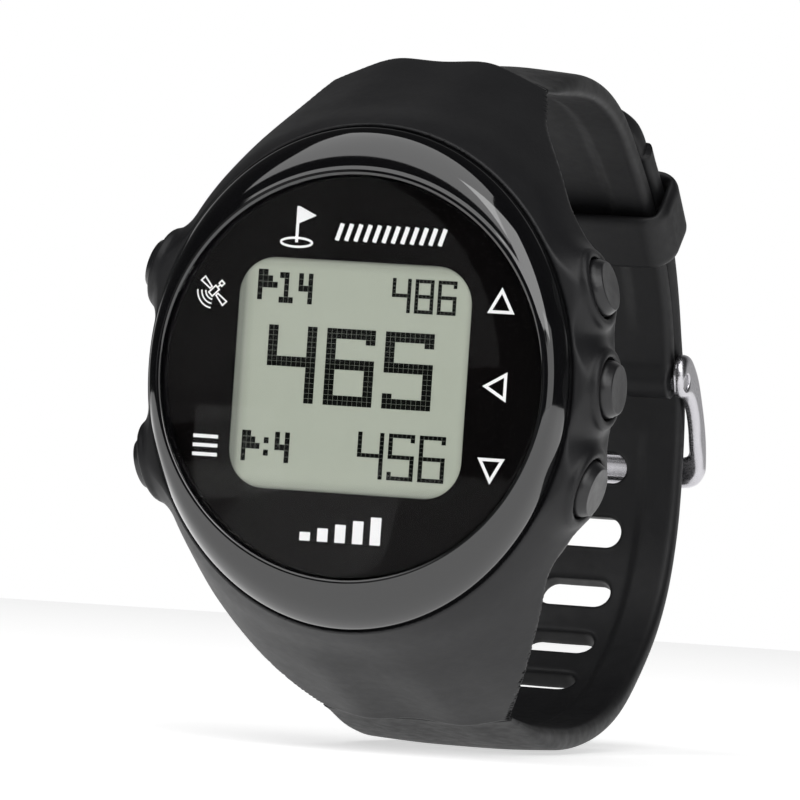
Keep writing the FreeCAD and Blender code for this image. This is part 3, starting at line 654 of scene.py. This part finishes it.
def frame_field(x, y, z):
    """Bow: its side outline, rounded in plan, open in the middle, with a rest for the tongue."""
    outline = Line(BUCKLE_SIDE, closed=True, count=90).p[:-1]
    side = polygon_distance(outline, y, z)
    plan = rounded_corner(np.abs(x) - 11.1, -8.6 - z, 2.6)
    body = smax(side + 0.02, plan, 0.9)
    opening = smax(np.abs(x) - 9.8, -5.1 - z, 0.8)
    body = smax(body, -opening, 0.5)
    rest = np.maximum(np.abs(x) - 1.5, np.maximum(62.0 - y, z + 6.0))
    body = smax(body, -rest, 0.2)
    return np.maximum(body, BUCKLE_BORE_R - from_buckle_pin(y, z))


def tongue_field(x, y, z):
    """Bent prong with an eye round the pin."""
    path = Line(TONGUE_LINE, count=40).p
    blade = smax(path_distance(path, y, z) - TONGUE_HALF_T, np.abs(x) - TONGUE_HALF_W, 0.4)
    r = from_buckle_pin(y, z)
    eye = smax(r - 1.44, np.abs(x) - 1.4, 0.35)
    return np.maximum(smin(blade, eye, 0.4), BUCKLE_BORE_R - r)


# ---- flat marks ----------------------------------------------------------------
class Marks:
    """Flat faces in a plane of the dial, facing -Y."""

    def __init__(self):
        self.points, self.faces = [], []

    def polygon(self, pts):
        """Face through the points, turned to face -Y."""
        base = len(self.points)
        self.points += list(pts)
        order = range(base, base + len(pts))
        area = sum(a[0] * b[1] - b[0] * a[1] for a, b in zip(pts, list(pts[1:]) + [pts[0]]))
        self.faces.append(tuple(order) if area > 0 else tuple(reversed(order)))

    def bar(self, x0, z0, x1, z1, width):
        dx, dz = x1 - x0, z1 - z0
        length = math.hypot(dx, dz)
        nx, nz = -dz / length * width / 2, dx / length * width / 2
        self.polygon([(x0 + nx, z0 + nz), (x0 - nx, z0 - nz), (x1 - nx, z1 - nz),
                      (x1 + nx, z1 + nz)])

    def loop(self, pts, width, closed=True):
        """Stroke along a polyline, mitred at its corners."""
        pts = [np.array(p, float) for p in pts]
        n = len(pts)
        sides = []
        for i, p in enumerate(pts):
            before = pts[i - 1] if closed or i else None
            after = pts[(i + 1) % n] if closed or i < n - 1 else None
            d0 = None if before is None else (p - before) / np.linalg.norm(p - before)
            d1 = None if after is None else (after - p) / np.linalg.norm(after - p)
            d0, d1 = (d1 if d0 is None else d0), (d0 if d1 is None else d1)
            n0, n1 = np.array([-d0[1], d0[0]]), np.array([-d1[1], d1[0]])
            m = (n0 + n1) / max(0.4, 1 + n0 @ n1)
            sides.append((p + m * width / 2, p - m * width / 2))
        for i in range(n if closed else n - 1):
            (a0, a1), (b0, b1) = sides[i], sides[(i + 1) % n]
            self.polygon([tuple(a0), tuple(a1), tuple(b1), tuple(b0)])

    def dots(self, rows, x, z, pitch_x, pitch_z, fill=0.96):
        """Dot matrix centred at x, z."""
        w, h = max(map(len, rows)), len(rows)
        for j, row in enumerate(rows):
            for i, c in enumerate(row):
                if c == "X":
                    cx = x + (i - (w - 1) / 2) * pitch_x
                    cz = z - (j - (h - 1) / 2) * pitch_z
                    a, b = pitch_x * fill / 2, pitch_z * fill / 2
                    self.polygon([(cx - a, cz - b), (cx + a, cz - b), (cx + a, cz + b),
                                  (cx - a, cz + b)])

    def build(self, name, y, body, slot, material):
        points = [(x, y, z) for x, z in self.points]
        add_piece(name, (points, self.faces), body, slot, material=material, smooth=False)


def digit_rows(digit, width, height, stroke):
    """A digit in square strokes on a dot grid."""
    left, right = range(stroke), range(width - stroke, width)
    mid = range((height - stroke) // 2, (height - stroke) // 2 + stroke)
    top, low = range(stroke), range(height - stroke, height)
    grid = [["."] * width for _ in range(height)]

    def fill(rows, columns):
        for j in rows:
            for i in columns:
                grid[j][i] = "X"

    every = range(width)
    upper, lower = range(0, mid[-1] + 1), range(mid[0], height)
    serif = range(0, stroke + 1)
    foot = range(height - stroke - 1, height)
    if digit == "4":
        fill(upper, left)
        fill(mid, every)
        fill(range(height), right)
    if digit in "568":
        fill(top, every)
        fill(mid, every)
        fill(low, every)
        fill(upper, left)
        fill(lower, right)
        fill(serif, right)
    if digit in "68":
        fill(lower, left)
    if digit == "8":
        fill(upper, right)
    if digit == "5":
        fill(foot, left)
    return ["".join(r) for r in grid]


def number_rows(text, width, height, stroke, gap):
    """Digits side by side, `gap` dots apart."""
    digits = [digit_rows(c, width, height, stroke) for c in text]
    return [("." * gap).join(rows) for rows in zip(*digits)]


PENNANT = ["XX..", "XXX.", "XXXX", "X...", "X..."]
FOURTEEN = ["XX..X.X", ".X..X.X", ".X..XXX", ".X....X", "XXX...X"]
FOUR = ["X.X", "X.X", "XXX", "..X", "..X"]


def display_dots():
    """Figures of the display: a row of small ones above and below the large ones."""
    m = Marks()
    m.dots(PENNANT, -9.35, 8.25, 0.5, 0.58)
    m.dots(FOURTEEN, -6.5, 8.05, 0.48, 0.58)
    m.dots(number_rows("486", 5, 9, 1, 1), 6.3, 7.95, 0.378, 0.358)
    m.dots(number_rows("465", 10, 15, 2, 2), -0.65, 0.92, 0.487, 0.482)
    m.dots(PENNANT, -10.0, -6.95, 0.46, 0.58)
    m.dots([".", "X", ".", "X", "."], -8.45, -6.95, 0.5, 0.58)
    m.dots(FOUR, -6.85, -6.95, 0.5, 0.58)
    m.dots(number_rows("456", 6, 11, 1, 1), 5.05, -7.15, 0.437, 0.398)
    return m


def arc(cx, cz, r, a0, a1, count=10):
    """Points on an arc between two angles in degrees."""
    angles = [math.radians(a0 + (a1 - a0) * i / count) for i in range(count + 1)]
    return [(cx + r * math.cos(a), cz + r * math.sin(a)) for a in angles]


def printed_icons():
    """White print round the display: arrows, menu bars, a satellite, a pin flag, rows of bars."""
    m = Marks()
    w = 0.3     # stroke of the arrows
    m.loop([(14.0, 8.95), (12.9, 6.95), (15.1, 6.95)], w)
    m.loop([(12.95, 0.0), (14.9, 1.15), (14.9, -1.15)], w)
    m.loop([(14.0, -8.8), (12.9, -6.8), (15.1, -6.8)], w)
    for k in (-1, 0, 1):
        m.bar(-15.75, -7.2 + 0.85 * k, -13.25, -7.2 + 0.85 * k, 0.34)
    satellite(m, -14.65, 7.35)
    pin_flag(m, -6.2, 13.8)
    for i in range(12):
        x = -2.7 + 0.93 * i
        m.bar(x, 12.75, x + 0.5, 14.35, 0.42)
    for i, h in enumerate((0.8, 1.25, 1.7, 2.15, 2.6)):
        x = -3.9 + 1.75 * i
        m.bar(x, -15.5, x, -15.5 + h, 1.05)
    return m


def satellite(m, cx, cz):
    """Tilted body with a small dish block, a tapered panel each side, and signal arcs."""
    c = math.sqrt(0.5)

    def turned(pts):
        return [(cx + (x + z) * c, cz + (z - x) * c) for x, z in pts]

    w = 0.15
    m.loop(turned([(-0.26, -0.47), (0.26, -0.47), (0.26, 0.47), (-0.26, 0.47)]), w)
    m.loop(turned([(-0.19, 0.86), (0.19, 0.86), (0.19, 1.24), (-0.19, 1.24)]), w)
    m.bar(*turned([(0, 0.47)])[0], *turned([(0, 0.86)])[0], w)
    for side in (-1, 1):
        near, far = 0.45 * side, 1.6 * side
        m.loop(turned([(near, -0.13), (far, -0.27), (far, 0.27), (near, 0.13)]), w)
    for r in (0.82, 1.22, 1.64):
        m.loop(arc(cx, cz, r, 178, 262), w, closed=False)


def pin_flag(m, cx, cz):
    """Golf pin: a pole, its pennant and the ring of the hole."""
    m.bar(cx - 0.5, cz - 1.45, cx - 0.5, cz + 1.95, 0.3)
    m.polygon([(cx - 0.36, cz + 1.95), (cx - 0.36, cz + 0.35), (cx + 1.35, cz + 1.15)])
    ring = [(cx - 0.5 + 1.55 * math.cos(a), cz - 1.45 + 0.42 * math.sin(a))
            for a in np.linspace(0, 2 * math.pi, 28, endpoint=False)]
    m.loop(ring, 0.22)


# ---- materials -----------------------------------------------------------------
class Nodes:
    """Node material with helpers that feed its main shader."""

    def __init__(self, name):
        self.mat = bpy.data.materials.new(name)
        self.mat.use_nodes = True
        self.tree = self.mat.node_tree
        self.shader = self.tree.nodes["Principled BSDF"]
        self.place = self.add("ShaderNodeTexCoord").outputs["Object"]

    def add(self, kind, **values):
        node = self.tree.nodes.new(kind)
        for key, value in values.items():
            if key in node.inputs:
                node.inputs[key].default_value = value
            else:
                setattr(node, key, value)
        return node

    def link(self, a, b):
        self.tree.links.new(a, b)

    def noise(self, scale, detail=3.0, rough=0.5, stretch=None):
        node = self.add("ShaderNodeTexNoise", Scale=scale, Detail=detail, Roughness=rough)
        source = self.place
        if stretch:
            mapping = self.add("ShaderNodeMapping")
            mapping.inputs["Scale"].default_value = stretch
            self.link(self.place, mapping.inputs["Vector"])
            source = mapping.outputs["Vector"]
        self.link(source, node.inputs["Vector"])
        return node.outputs["Fac"]

    def ramp(self, fac, stops):
        """Colour from a 0 to 1 value, by (place, colour) stops."""
        node = self.add("ShaderNodeValToRGB")
        ramp = node.color_ramp
        while len(ramp.elements) < len(stops):
            ramp.elements.new(0.5)
        for element, (at, colour) in zip(ramp.elements, stops):
            element.position = at
            element.color = (*colour, 1)
        self.link(fac, node.inputs["Fac"])
        return node.outputs["Color"]

    def span(self, fac, low, high):
        """Noise, which lies mostly between 0.3 and 0.7, stretched to low and high."""
        node = self.add("ShaderNodeMapRange")
        node.inputs["From Min"].default_value = 0.3
        node.inputs["From Max"].default_value = 0.7
        node.inputs["To Min"].default_value = low
        node.inputs["To Max"].default_value = high
        self.link(fac, node.inputs["Value"])
        return node.outputs["Result"]

    def bump(self, height, strength, distance, normal=None):
        node = self.add("ShaderNodeBump", Strength=strength, Distance=distance)
        self.link(height, node.inputs["Height"])
        if normal is not None:
            self.link(normal, node.inputs["Normal"])
        self.link(node.outputs["Normal"], self.shader.inputs["Normal"])
        return node.outputs["Normal"]


def moulded(name, dark, light, rough, grain=9000.0, depth=0.3, specular=0.5):
    """Moulded plastic or rubber: fine grain, faint cloudiness, uneven gloss."""
    n = Nodes(name)
    n.shader.inputs["Specular IOR Level"].default_value = specular
    cloud = n.noise(260.0, 4.0)
    n.link(n.ramp(cloud, [(0.3, dark), (0.7, light)]), n.shader.inputs["Base Color"])
    n.link(n.span(n.noise(900.0, 5.0), rough[0], rough[1]), n.shader.inputs["Roughness"])
    first = n.bump(n.noise(grain, 2.0), depth, 0.00003)
    n.bump(n.noise(grain * 0.28, 2.0), depth * 0.5, 0.00005, first)
    return n.mat


def polished(name, dark, light, rough, coat=0.0, specular=0.5):
    """Smooth gloss surface with faint clouding and a slight waviness."""
    n = Nodes(name)
    n.shader.inputs["Specular IOR Level"].default_value = specular
    n.shader.inputs["Coat Weight"].default_value = coat
    n.shader.inputs["Coat Roughness"].default_value = 0.04
    n.link(n.ramp(n.noise(180.0, 3.0), [(0.3, dark), (0.7, light)]),
           n.shader.inputs["Base Color"])
    n.link(n.span(n.noise(2500.0, 6.0), rough[0], rough[1]), n.shader.inputs["Roughness"])
    n.bump(n.noise(140.0, 1.0), 0.05, 0.00002)
    return n.mat


def brushed(name, dark, light, rough, stretch):
    """Metal with fine lines along one direction."""
    n = Nodes(name)
    n.shader.inputs["Metallic"].default_value = 1.0
    lines = n.noise(2600.0, 6.0, 0.6, stretch)
    n.link(n.ramp(lines, [(0.25, dark), (0.75, light)]), n.shader.inputs["Base Color"])
    n.link(n.span(lines, rough[0], rough[1]), n.shader.inputs["Roughness"])
    n.bump(lines, 0.12, 0.00001)
    return n.mat


def display_material():
    """Reflective display: pale grey-green with fine grain, painted shade at its edges and a painted
    glow.
    """
    n = Nodes("display")
    n.shader.inputs["Specular IOR Level"].default_value = 0.3
    split = n.add("ShaderNodeSeparateXYZ")
    n.link(n.place, split.inputs[0])
    far = []
    for axis, half in (("X", 0.0116), ("Z", 0.0109)):       # half of the display's face, metres
        size = n.add("ShaderNodeMath", operation="ABSOLUTE")
        n.link(split.outputs[axis], size.inputs[0])
        share = n.add("ShaderNodeMath", operation="DIVIDE")
        n.link(size.outputs[0], share.inputs[0])
        share.inputs[1].default_value = half
        far.append(share.outputs[0])
    larger = n.add("ShaderNodeMath", operation="MAXIMUM")
    n.link(far[0], larger.inputs[0])
    n.link(far[1], larger.inputs[1])
    # painted shade: the display is darker towards the edges of its window
    shade = n.ramp(larger.outputs[0], [(0.0, (0.50, 0.54, 0.45)), (0.9, (0.49, 0.53, 0.44)),
                                       (0.97, (0.40, 0.43, 0.36)), (1.0, (0.25, 0.27, 0.23))])
    grain = n.ramp(n.noise(9000.0, 2.0), [(0.3, (0.95, 0.95, 0.95)), (0.7, (1, 1, 1))])
    mix = n.add("ShaderNodeMix", data_type="RGBA", blend_type="MULTIPLY")
    mix.inputs["Factor"].default_value = 1.0
    n.link(shade, mix.inputs["A"])
    n.link(grain, mix.inputs["B"])
    n.link(mix.outputs["Result"], n.shader.inputs["Base Color"])
    # painted light: the display glows faintly in its own colour
    n.link(mix.outputs["Result"], n.shader.inputs["Emission Color"])
    n.shader.inputs["Emission Strength"].default_value = 0.18
    n.link(n.span(n.noise(1500.0, 3.0), 0.45, 0.6), n.shader.inputs["Roughness"])
    return n.mat


def painted_glow(material, colour, strength):
    """Painted light: a faint glow in the colour, which keeps white print white behind the lens."""
    shader = material.node_tree.nodes["Principled BSDF"]
    shader.inputs["Emission Color"].default_value = (*colour, 1)
    shader.inputs["Emission Strength"].default_value = strength


def lens_material():
    """Clear window: mostly see-through, with sharp reflections."""
    n = Nodes("clear_lens")
    n.mat.blend_method = "BLEND"
    n.shader.inputs["Base Color"].default_value = (0.002, 0.002, 0.002, 1)
    n.shader.inputs["Alpha"].default_value = 0.12
    n.shader.inputs["Specular IOR Level"].default_value = 0.6
    n.link(n.span(n.noise(400.0, 4.0), 0.02, 0.05), n.shader.inputs["Roughness"])
    return n.mat


MATERIALS = {
    "case": moulded("case_black", (0.0062, 0.0062, 0.0072), (0.0088, 0.0088, 0.0098), (0.45, 0.50),
                    specular=0.36),
    "button": moulded("button_black", (0.008, 0.008, 0.009), (0.012, 0.012, 0.013), (0.3, 0.4)),
    "strap": moulded("strap_black", (0.0048, 0.0048, 0.0056), (0.0072, 0.0072, 0.008), (0.46, 0.58),
                     specular=0.35),
    "bezel": polished("bezel_black", (0.0015, 0.0015, 0.002), (0.0025, 0.0025, 0.003), (0.05, 0.09),
                      coat=1.0),
    "mask": polished("mask_black", (0.0022, 0.0018, 0.0018), (0.003, 0.0024, 0.0024), (0.2, 0.3),
                     specular=0.04),
    "lens": lens_material(),
    "lcd": display_material(),
    "light_guide": polished("light_guide", (0.75, 0.78, 0.76), (0.85, 0.88, 0.86), (0.4, 0.5)),
    "inner_plastic": moulded("inner_plastic", (0.62, 0.62, 0.6), (0.72, 0.72, 0.7), (0.4, 0.5)),
    "board": moulded("board_green", (0.02, 0.12, 0.05), (0.03, 0.16, 0.07), (0.3, 0.4)),
    "elastomer": moulded("elastomer", (0.03, 0.03, 0.033), (0.05, 0.05, 0.055), (0.5, 0.65)),
    "ceramic": moulded("ceramic", (0.58, 0.52, 0.43), (0.66, 0.60, 0.50), (0.5, 0.6)),
    "switch": brushed("switch_steel", (0.5, 0.5, 0.52), (0.65, 0.65, 0.67), (0.25, 0.4), (1, 1, 8)),
    "battery": brushed("battery_foil", (0.6, 0.61, 0.63), (0.74, 0.75, 0.77), (0.3, 0.45),
                       (1, 6, 1)),
    "steel": brushed("satin_steel", (0.52, 0.51, 0.54), (0.66, 0.65, 0.68), (0.2, 0.32), (1, 8, 8)),
    "contact": brushed("gold_contact", (0.75, 0.55, 0.22), (0.86, 0.68, 0.35), (0.2, 0.3),
                       (6, 1, 6)),
}
INK = moulded("display_ink", (0.003, 0.004, 0.003), (0.005, 0.006, 0.005), (0.5, 0.6),
              specular=0.05)
PRINT = moulded("white_print", (0.84, 0.84, 0.84), (0.9, 0.9, 0.9), (0.4, 0.5))
# painted light: the white print glows faintly
painted_glow(PRINT, (1, 1, 1), 0.45)


def paint(obj, material):
    obj.data.materials.clear()
    obj.data.materials.append(material)


SLOT_OF = {s["node"]: s["material_slot"] for s in frame["record"]["subparts"]}
for node, obj in frame["nodes"].items():
    paint(obj, MATERIALS[SLOT_OF[node]])

# ---- pieces --------------------------------------------------------------------
FINE = 0.24       # cell of the sampling grid


def add_case():
    shell = surface(case_field, (-23.6, -13.6, -33.9), (24.0, 10.2, 31.9), FINE)
    add_piece("case_shell_moulding", shell, "case", "case", ["case_shell"])
    add_piece("bezel_ring", bezel_mesh(), "case", "bezel", ["bezel"])


def add_dial():
    """Lens, the print behind it, and the figures of the display."""
    profile = [(LENS_BACK_Y, 0.0), (LENS_BACK_Y, LENS_R - 0.03), (LIP_Y + 0.7, LENS_R),
               (LIP_Y + 0.5, LENS_R - 0.05), (LIP_Y + 0.42, LENS_R - 0.16),
               (LIP_Y + 0.4, LENS_R - 0.3), (LIP_Y + 0.4, 0.0)]
    profile = [(-LIP_Y + y, r) for y, r in reversed(profile)]
    add_piece("lens_window", lathe(profile, (0, LIP_Y, 0), (0, 1, 0), 192), "case", "lens",
              ["lens"])
    add_piece("window_print", mask_mesh(), "case", "mask", ["lens_mask"], smooth=False)
    display_dots().build("display_dots", DOTS_Y, "case", "lcd", INK)
    printed_icons().build("printed_icons", PRINT_Y, "case", "mask", PRINT)


def add_button(name):
    add_piece(name + "_cap", button_mesh(name), name, "button", [name])
    coil = add_piece(name + "_coil", spring_mesh(name), "case", "steel", [name + "_spring"])
    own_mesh(coil)


def add_upper_strap():
    line = upper_line()
    y, z, ty, tz = line.at(line.length)
    pin = (float(line.length + (BUCKLE_PIN[0] - y) * ty + (BUCKLE_PIN[1] - z) * tz),
           float(-(BUCKLE_PIN[0] - y) * tz + (BUCKLE_PIN[1] - z) * ty))
    points, faces = surface(lambda u, s, v: upper_field(u, s, v, line.length, pin),
                            (-10.9, -0.3, -1.2), (10.9, line.length + 2.2, 3.3), FINE)
    add_piece("strap_upper_moulding", (bend(line, points, 1), faces), "case", "strap",
              ["strap_upper"])
    tab = surface(lambda x, y, z: root_tab_field(x, y, z, UPPER_PIN, UPPER_STRAP, 1),
                  (-5.7, -1.0, 25.6), (5.7, 10.6, 29.2), FINE)
    add_piece("strap_upper_root", tab, "case", "strap")


def add_lower_strap():
    line = lower_line()
    points, faces = surface(lambda u, s, v: lower_field(u, s, v, line.length),
                            (-10.4, -0.3, -0.4), (10.4, line.length + 0.4, 3.2), FINE)
    points[:, 2] += 0.8 * step_between(points[:, 1], 96.5, 103.0)     # the tip springs out
    add_piece("strap_lower_moulding", (bend(line, points, -1), faces), "case", "strap",
              ["strap_lower"])
    tab = surface(lambda x, y, z: root_tab_field(x, y, z, LOWER_PIN, LOWER_STRAP, -1),
                  (-5.7, -1.0, -32.6), (5.7, 14.4, -25.6), FINE)
    add_piece("strap_lower_root", tab, "case", "strap")


def add_keeper():
    y, z, ty, tz = (float(v) for v in upper_line().at(KEEPER_AT))
    points, faces = surface(keeper_field, (-11.4, -2.2, -3.6), (11.4, 7.2, 3.6), FINE * 0.8)
    x, n, t = points.T
    points = np.stack([x, y - tz * n + ty * t, z + ty * n + tz * t], -1)
    add_piece("keeper_loop", (points, faces), "keeper", "strap", ["keeper"])


def add_buckle():
    frame_bow = surface(frame_field, (-11.4, 51.6, -9.0), (11.4, 62.8, 5.8), FINE * 0.7)
    add_piece("buckle_frame_bow", frame_bow, "buckle_frame", "steel", ["buckle_frame"])
    prong = surface(tongue_field, (-1.6, 51.8, -8.9), (1.6, 63.3, 4.1), FINE * 0.5)
    add_piece("buckle_tongue_prong", prong, "buckle_tongue", "steel", ["buckle_tongue"])


add_case()
add_dial()
for button in BUTTONS:
    add_button(button)
add_upper_strap()
add_lower_strap()
add_keeper()
add_buckle()

# ---- stage ---------------------------------------------------------------------
FLOOR_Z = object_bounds()[0].z - 0.0001       # metres, just under the object
FLOOR_R, FLOOR_Y = 0.5, 0.08
# name, place in metres, size in metres, power in watts; each faces the origin
SOFT_BOXES = (
    ("key_front_right", (0.52, -0.75, 0.62), (0.75, 0.75), 5.0),
    ("overhead", (-0.14, -0.42, 0.75), (1.0, 0.95), 5.0),
    ("side_right", (0.8, -0.5, 0.02), (0.75, 0.7), 2.0),
    ("left_glow", (-0.7, -1.3, 0.24), (0.35, 0.5), 0.15),
)
VIEW_AZIMUTH, VIEW_ELEVATION, VIEW_ROLL = 19.74, -0.49, 3.87      # degrees
VIEW_DISTANCE, VIEW_WIDTH = 700.0, 74.6269      # millimetres to the dial, and in view there
AIM_RIGHT, AIM_DOWN = 4.8097, 2.1203        # millimetres from the dial's centre


def stage_floor():
    """Pale matt disc that glows a little, close to the white of the backdrop."""
    n = Nodes("pale_floor")
    n.link(n.ramp(n.noise(6.0, 2.0), [(0.3, (0.9, 0.9, 0.9)), (0.7, (0.92, 0.92, 0.92))]),
           n.shader.inputs["Base Color"])
    n.shader.inputs["Roughness"].default_value = 0.9
    n.shader.inputs["Specular IOR Level"].default_value = 0.0
    n.shader.inputs["Emission Color"].default_value = (1, 1, 1, 1)
    n.shader.inputs["Emission Strength"].default_value = 0.6
    mesh = bpy.data.meshes.new("floor")
    ring = [(FLOOR_R * math.cos(a), FLOOR_Y + FLOOR_R * math.sin(a), FLOOR_Z)
            for a in np.linspace(0, 2 * math.pi, 96, endpoint=False)]
    mesh.from_pydata(ring, [], [tuple(range(96))])
    obj = bpy.data.objects.new("floor", mesh)
    bpy.context.scene.collection.objects.link(obj)
    obj.data.materials.append(n.mat)


def soft_box(name, place, size, power):
    data = bpy.data.lights.new(name, "AREA")
    data.shape = "RECTANGLE"
    data.size, data.size_y = size
    data.energy = power
    obj = bpy.data.objects.new(name, data)
    bpy.context.scene.collection.objects.link(obj)
    obj.location = place
    obj.rotation_euler = (-Vector(place)).to_track_quat("-Z", "Y").to_euler()


def world():
    """White backdrop behind the object, dim in front of it, and white wherever it is seen."""
    w = bpy.data.worlds.new("studio")
    bpy.context.scene.world = w
    w.use_nodes = True
    tree = w.node_tree
    tree.nodes.clear()
    out = tree.nodes.new("ShaderNodeOutputWorld")
    shade = tree.nodes.new("ShaderNodeBackground")
    shade.inputs["Color"].default_value = (1, 1, 1, 1)
    direction = tree.nodes.new("ShaderNodeTexCoord")
    split = tree.nodes.new("ShaderNodeSeparateXYZ")
    fade = tree.nodes.new("ShaderNodeMapRange")
    path = tree.nodes.new("ShaderNodeLightPath")
    brighter = tree.nodes.new("ShaderNodeMath")
    brighter.operation = "MAXIMUM"
    fade.inputs["From Min"].default_value = 0.6
    fade.inputs["From Max"].default_value = 1.0
    fade.inputs["To Min"].default_value = 0.03
    fade.inputs["To Max"].default_value = 0.5
    tree.links.new(direction.outputs["Generated"], split.inputs[0])
    tree.links.new(split.outputs["Y"], fade.inputs["Value"])
    tree.links.new(fade.outputs["Result"], brighter.inputs[0])
    tree.links.new(path.outputs["Is Camera Ray"], brighter.inputs[1])
    tree.links.new(brighter.outputs[0], shade.inputs["Strength"])
    tree.links.new(shade.outputs[0], out.inputs["Surface"])


def camera():
    """Camera on the dial, a little right of and below its centre, and turned by its roll."""
    az, el, roll = (math.radians(v) for v in (VIEW_AZIMUTH, VIEW_ELEVATION, VIEW_ROLL))
    back = np.array([math.sin(az) * math.cos(el), -math.cos(az) * math.cos(el), math.sin(el)])
    level = np.cross((0, 0, 1), back)
    level /= np.linalg.norm(level)
    plumb = np.cross(back, level)
    right = level * math.cos(roll) + plumb * math.sin(roll)
    up = -level * math.sin(roll) + plumb * math.cos(roll)
    place = right * AIM_RIGHT - up * AIM_DOWN + back * VIEW_DISTANCE
    place[1] += LIP_Y
    data = bpy.data.cameras.new("camera")
    data.sensor_width = 36.0
    data.lens = data.sensor_width * VIEW_DISTANCE / VIEW_WIDTH
    data.clip_start, data.clip_end = 0.05, 50.0
    obj = bpy.data.objects.new("camera", data)
    bpy.context.scene.collection.objects.link(obj)
    m = Matrix.Identity(4)
    for i in range(3):
        m[i][0], m[i][1], m[i][2], m[i][3] = right[i], up[i], back[i], place[i] * 0.001
    obj.matrix_world = m
    bpy.context.scene.camera = obj


bpy.context.scene.view_settings.view_transform = "Standard"
stage_floor()
world()
camera()
for box in SOFT_BOXES:
    soft_box(*box)
